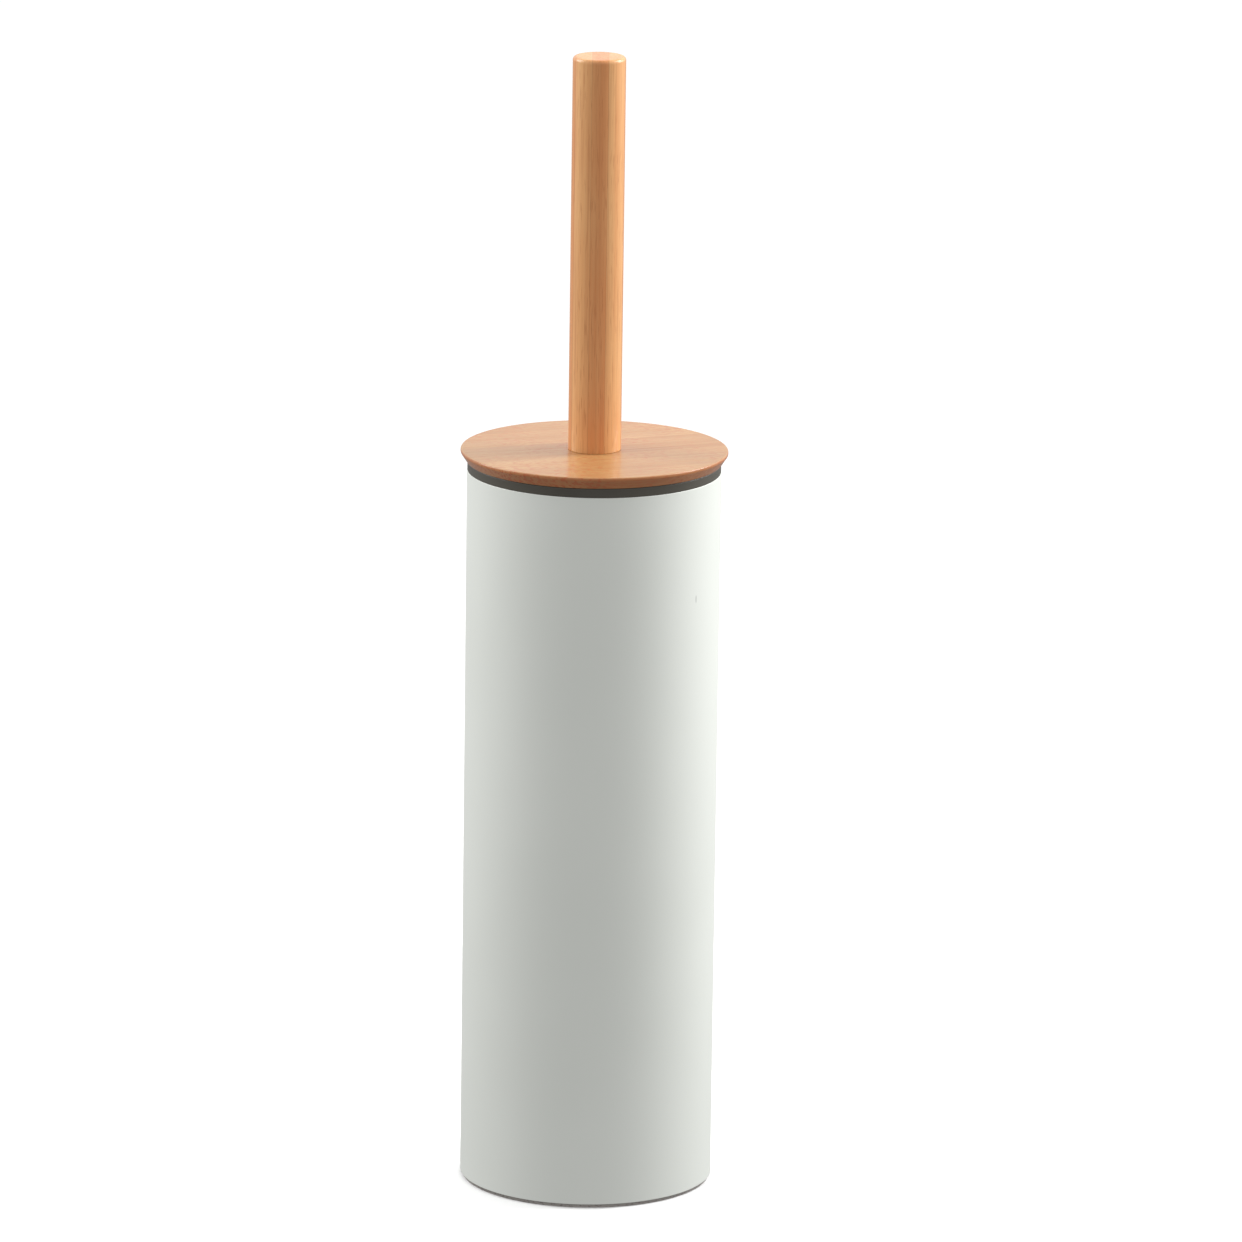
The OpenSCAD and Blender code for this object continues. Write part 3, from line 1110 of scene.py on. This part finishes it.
@dataclass
class BrushHead:
    """The head: a black plastic core with a collar, and a silicone sleeve full of bristles."""

    collar_radius: float = 16.0 * MM
    collar_height: float = 2.2 * MM
    collar_round: float = 0.8 * MM
    recess_radius: float = 9.9 * MM
    recess_depth: float = 1.5 * MM
    stud_radius: float = 4.0 * MM
    stud_length: float = 14.0 * MM
    stud_pitch: float = 1.25 * MM
    stud_depth: float = 0.7 * MM
    spigot_radius: float = 8.0 * MM
    barb_count: int = 3
    barb_first: float = 9.0 * MM
    barb_proud: float = 0.6 * MM
    barb_height: float = 1.5 * MM
    core_round: float = 0.3 * MM
    fit: float = 0.05 * MM
    sleeve_radius: float = 11.0 * MM
    sleeve_length: float = 49.8 * MM
    sleeve_round: float = 0.3 * MM
    end_steps: int = 14
    bristle_depth: float = 1.5 * MM
    reach: float = 38.5 * MM
    root_radius: float = 1.3 * MM
    tip_radius: float = 0.95 * MM
    flare: float = 0.3 * MM
    flare_height: float = 0.9 * MM
    # Shares of the way from root to tip, and how much of the root's extra width is left there.
    taper: tuple[tuple[float, float], ...] = ((0.45, 0.6), (0.75, 0.25))
    tip_length: float = 0.75 * MM
    # Shares of the tip's length back from its end, and how much of its radius is left there.
    tip_round: tuple[tuple[float, float], ...] = ((1, 1), (1 / 3, 0.78), (0, 0.35))
    spare_reach: float = 0.1 * MM
    sides: int = 8
    rows: int = 20
    rings: int = 11
    first_drop: float = 1.7 * MM
    last_rise: float = 1.1 * MM
    droops: tuple[float, ...] = (4.0 * MM, 2.7 * MM, 1.3 * MM)
    end_reach: float = 37.0 * MM
    end_rings: tuple[tuple[float, int], ...] = ((14, 20), (30, 18), (46, 14), (62, 10), (78, 4))
    soft_bend: float = 0.6 * MM
    wander: float = math.radians(0.6)
    seed: int = 7
    steps: int = 96
    pieces: dict[str, bpy.types.Object] = field(default_factory=dict)

    def barb_heights(self, collar_z: float) -> list[float]:
        """Heights of the barbs' centres, from the top down.

        Args:
            collar_z: Height of the collar's underside.

        Returns:
            One height for each barb.
        """
        pitch = (self.sleeve_length - 2 * self.barb_first) / (self.barb_count - 1)
        return [collar_z - self.barb_first - i * pitch for i in range(self.barb_count)]

    def barb_bends(self, collar_z: float, gap: float) -> list[Bend]:
        """Outline of the spigot's barbs, from the top down.

        Args:
            collar_z: Height of the collar's underside.
            gap: Clearance round the barbs, as the sleeve has.

        Returns:
            Four corners for each barb.
        """
        bends = []
        low_r = self.spigot_radius + gap
        high_r = low_r + self.barb_proud
        half = self.barb_height / 2 + gap
        for z in self.barb_heights(collar_z):
            bends += [Bend(low_r, z + half), Bend(high_r, z + half)]
            bends += [Bend(high_r, z - half), Bend(low_r, z - half)]
        return bends

    def build_core(self) -> None:
        """Turns the core: stud, collar with its recess, and spigot with barbs."""
        span = Span.of("brush_core")
        collar_z = Span.of("bristle_sleeve").high
        top = collar_z + self.collar_height
        recess_z = top - self.recess_depth
        stud_top = recess_z + self.stud_length
        bends = [Bend(0, stud_top)]
        bends += screw_ridges(
            self.stud_radius, stud_top, self.stud_length, self.stud_pitch, self.stud_depth
        )
        bends += [
            Bend(self.recess_radius, recess_z, self.core_round),
            Bend(self.recess_radius, top, self.core_round),
            Bend(self.collar_radius, top, self.collar_round),
            Bend(self.collar_radius, collar_z, self.core_round),
            Bend(self.spigot_radius, collar_z),
        ]
        bends += self.barb_bends(collar_z, 0)
        bends += [Bend(self.spigot_radius, span.low, self.core_round), Bend(0, span.low)]
        self.pieces["core"] = turn("head_core", bends, False, self.steps)

    def build_sleeve(self) -> bpy.types.Object:
        """Turns the sleeve's body, a thick wall that closes in a round end.

        Returns:
            The body without bristles.
        """
        top = Span.of("bristle_sleeve").high
        bottom = top - self.sleeve_length
        inside = self.spigot_radius + self.fit
        core_low = Span.of("brush_core").low - self.fit
        bends = [Bend(0, core_low), Bend(inside, core_low)]
        bends += reversed(self.barb_bends(top, self.fit))
        bends += [Bend(inside, top), Bend(self.sleeve_radius, top, self.sleeve_round)]
        for i in range(self.end_steps):
            angle = math.pi / 2 * i / self.end_steps
            r = self.sleeve_radius * math.cos(angle)
            bends.append(Bend(r, bottom - self.sleeve_radius * math.sin(angle)))
        bends.append(Bend(0, bottom - self.sleeve_radius))
        return turn("silicone_sleeve", bends, False, self.steps)

    def build_bristle(self, reach: float, droop: float) -> bpy.types.Object:
        """Extrudes one bristle along X from its root, with a flared foot and a round tip.

        Args:
            reach: Distance of its tip from the axis.
            droop: How far its tip hangs below its root.

        Returns:
            The bristle, to be copied.
        """
        root = self.sleeve_radius - self.bristle_depth
        foot = self.root_radius + self.flare
        tip = self.tip_radius
        sections = [
            (root, foot),
            (self.sleeve_radius, foot),
            (self.sleeve_radius + self.flare_height, self.root_radius),
        ]
        for way, left in self.taper:
            radius = self.root_radius * left + tip * (1 - left)
            sections.append((root + (reach - root) * way, radius))
        sections += [(reach - self.tip_length * back, tip * part) for back, part in self.tip_round]
        clear_selection()
        bpy.ops.mesh.primitive_circle_add(
            vertices=self.sides, radius=sections[0][1], fill_type="NGON",
            location=(root, 0, 0), rotation=(0, math.pi / 2, 0),
        )
        piece = bpy.context.active_object
        bpy.ops.object.transform_apply(location=True, rotation=True, scale=True)
        bpy.ops.object.mode_set(mode="EDIT")
        bpy.ops.mesh.select_all(action="SELECT")
        for before, after in pairwise(sections):
            sags = [-droop * ((x - root) / (reach - root)) ** 2 for x, _ in (before, after)]
            step = (after[0] - before[0], 0, sags[1] - sags[0])
            bpy.ops.mesh.extrude_region_move(TRANSFORM_OT_translate={"value": step})
            size = after[1] / before[1]
            middle = (after[0], 0, sags[1])
            bpy.ops.transform.resize(value=(size, size, size), center_override=middle)
        close_up(piece)
        bpy.ops.object.shade_smooth()
        return piece

    def plant(
        self, model: bpy.types.Object, z: float, turned: float, dip: float, rolls: bool,
        chance: random.Random,
    ) -> None:
        """Copies a bristle into its place.

        Args:
            model: The bristle to copy.
            z: Height of the point that it is aimed from.
            turned: Its direction about Z.
            dip: Its angle below the horizontal.
            rolls: True if its slight bend may point any way, and not down.
            chance: Source of its small departures from that direction.
        """
        copy = model.copy()
        copy.data = model.data.copy()
        bpy.context.scene.collection.objects.link(copy)
        turned += chance.uniform(-self.wander, self.wander)
        dip += chance.uniform(-self.wander, self.wander)
        roll = chance.uniform(0, FULL_TURN) if rolls else 0.0
        copy.matrix_world = (
            Matrix.Translation((0, 0, z))
            @ Matrix.Rotation(turned, 4, "Z")
            @ Matrix.Rotation(dip, 4, "Y")
            @ Matrix.Rotation(roll, 4, "X")
        )
        copy.select_set(True)

    def build(self) -> None:
        """Builds the core, then the sleeve with all its bristles as one piece."""
        self.build_core()
        sleeve = self.build_sleeve()
        chance = random.Random(self.seed)
        top = Span.of("bristle_sleeve").high
        end_z = top - self.sleeve_length
        pitch = (self.sleeve_length - self.first_drop - self.last_rise) / (self.rings - 1)
        long_reach = self.reach - self.spare_reach
        straight = self.build_bristle(long_reach, self.soft_bend)
        bent = [self.build_bristle(long_reach, droop) for droop in self.droops]
        short = self.build_bristle(self.end_reach - self.spare_reach, self.soft_bend)
        models = [*bent, *[straight] * (self.rings - len(bent))]
        clear_selection()
        for ring, model in enumerate(models):
            z = top - self.first_drop - ring * pitch
            for row in range(self.rows):
                self.plant(model, z, row * FULL_TURN / self.rows, 0, model is straight, chance)
        for dip, count in self.end_rings:
            for i in range(count):
                turned = i * FULL_TURN / count
                self.plant(short, end_z, turned, math.radians(dip), True, chance)
        sleeve.select_set(True)
        bpy.context.view_layer.objects.active = sleeve
        bpy.ops.object.join()
        for model in (straight, short, *bent):
            bpy.data.objects.remove(model)
        self.pieces["sleeve"] = sleeve

    def dress(self) -> None:
        """Finishes the core and the sleeve."""
        plastic = MouldedPlastic("black_head_plastic", (0.022, 0.022, 0.022), roughness=0.34).make()
        settle(self.pieces["core"], Body.BRUSH, Slot.HEAD_PLASTIC, plastic, "brush_core")
        silicone = Silicone().make()
        settle(self.pieces["sleeve"], Body.BRUSH, Slot.SILICONE, silicone, "bristle_sleeve")


# ---------------------------------------------------------------------------
# Studio
# ---------------------------------------------------------------------------


@dataclass(frozen=True)
class Softbox:
    """A large soft light that points at a place on the object."""

    name: str
    at: Point
    aim: Point
    width: float
    height: float
    power: float

    def place(self) -> None:
        """Adds the light."""
        light = bpy.data.lights.new(self.name, "AREA")
        light.shape = "RECTANGLE"
        light.size = self.width
        light.size_y = self.height
        light.energy = self.power
        lamp = bpy.data.objects.new(self.name, light)
        lamp.location = self.at
        direction = Vector(self.aim) - Vector(self.at)
        lamp.rotation_euler = direction.to_track_quat("-Z", "Y").to_euler()
        lamp.visible_camera = False
        bpy.context.scene.collection.objects.link(lamp)


@dataclass
class Studio:
    """A pale floor, soft light from both sides and above, and the camera."""

    floor_radius: float = 40.0
    floor_sides: int = 128
    camera_at: Point = (0, -3.2046, 0.9652)
    pitch: float = math.radians(13.593)
    yaw: float = math.radians(0.17)
    roll: float = math.radians(0.78)
    lens: float = 288.5
    sensor: float = 36
    nearest: float = 0.1
    farthest: float = 100
    front_light: float = 0.81
    back_light: float = 0.95
    right_light: float = 0.1
    ground_share: float = 0.42
    ground_from: float = -0.10
    ground_to: float = -0.02

    def build_floor(self) -> None:
        """Adds the floor as a wide disc."""
        clear_selection()
        bpy.ops.mesh.primitive_circle_add(
            vertices=self.floor_sides, radius=self.floor_radius, fill_type="NGON"
        )
        floor = bpy.context.active_object
        floor.name = "studio_floor"
        floor.data.materials.append(StudioFloor().make())
        # The floor throws no light back up, so that it stays pale without washing out the object.
        floor.visible_diffuse = False
        floor.visible_glossy = False

    def build_sky(self) -> None:
        """Surrounds the scene with soft light, brighter behind and to the right, dim below."""
        world = bpy.data.worlds.new("studio_sky")
        world.use_nodes = True
        bpy.context.scene.world = world
        tree = world.node_tree
        direction = tree.nodes.new("ShaderNodeTexCoord").outputs["Generated"]
        parts = tree.nodes.new("ShaderNodeSeparateXYZ")
        tree.links.new(direction, parts.inputs[0])
        total: Socket | None = None
        shares = (
            ("Y", -0.5, 0.7, self.front_light, self.back_light),
            ("X", 0.0, 1.0, 0.0, self.right_light),
        )
        for axis, low, high, start, end in shares:
            share = tree.nodes.new("ShaderNodeMapRange")
            share.interpolation_type = "SMOOTHSTEP"
            tree.links.new(parts.outputs[axis], share.inputs["Value"])
            share.inputs["From Min"].default_value = low
            share.inputs["From Max"].default_value = high
            share.inputs["To Min"].default_value = start
            share.inputs["To Max"].default_value = end
            if total is None:
                total = share.outputs["Result"]
                continue
            both = tree.nodes.new("ShaderNodeMath")
            tree.links.new(total, both.inputs[0])
            tree.links.new(share.outputs["Result"], both.inputs[1])
            total = both.outputs[0]
        ground = tree.nodes.new("ShaderNodeMapRange")
        tree.links.new(parts.outputs["Z"], ground.inputs["Value"])
        ground.inputs["From Min"].default_value = self.ground_from
        ground.inputs["From Max"].default_value = self.ground_to
        ground.inputs["To Min"].default_value = self.ground_share
        lit = tree.nodes.new("ShaderNodeMath")
        lit.operation = "MULTIPLY"
        tree.links.new(total, lit.inputs[0])
        tree.links.new(ground.outputs["Result"], lit.inputs[1])
        tree.links.new(lit.outputs[0], tree.nodes["Background"].inputs["Strength"])
        tree.nodes["Background"].inputs["Color"].default_value = (1, 1, 1, 1)

    def build_lights(self) -> None:
        """Hangs the softboxes."""
        upper = (0, 0, 0.34)
        boxes = (
            Softbox("right_softbox", (0.62, 0.16, 0.66), upper, 0.36, 0.55, 6.9),
            Softbox("left_softbox", (-0.66, 0.16, 0.66), upper, 0.36, 0.55, 4.1),
            Softbox("back_softbox", (0, 2.4, 1.9), (0, 2.0, 0), 3.5, 2.0, 11),
        )
        for box in boxes:
            box.place()

    def build_camera(self) -> None:
        """Sets up the camera, a long lens that looks a little down."""
        data = bpy.data.cameras.new("camera")
        data.lens = self.lens
        data.sensor_width = self.sensor
        data.clip_start = self.nearest
        data.clip_end = self.farthest
        camera = bpy.data.objects.new("camera", data)
        camera.matrix_world = (
            Matrix.Translation(self.camera_at)
            @ Matrix.Rotation(-self.yaw, 4, "Z")
            @ Matrix.Rotation(math.pi / 2 - self.pitch, 4, "X")
            @ Matrix.Rotation(self.roll, 4, "Z")
        )
        bpy.context.scene.collection.objects.link(camera)
        bpy.context.scene.camera = camera

    def build(self) -> None:
        """Builds the studio and sets a plain view of its colours."""
        self.build_floor()
        self.build_sky()
        self.build_lights()
        self.build_camera()
        bpy.context.scene.view_settings.view_transform = "Standard"


def main() -> None:
    """Builds and dresses each sub-assembly in turn, then the studio."""
    logging.basicConfig(level=logging.INFO, format="%(message)s")
    for assembly in (Holder(), Liner(), LidAndHandle(), Stem(), BrushHead()):
        assembly.build()
        assembly.dress()
        LOG.info("%s built", type(assembly).__name__)
    Studio().build()


if __name__ == "__main__":
    main()
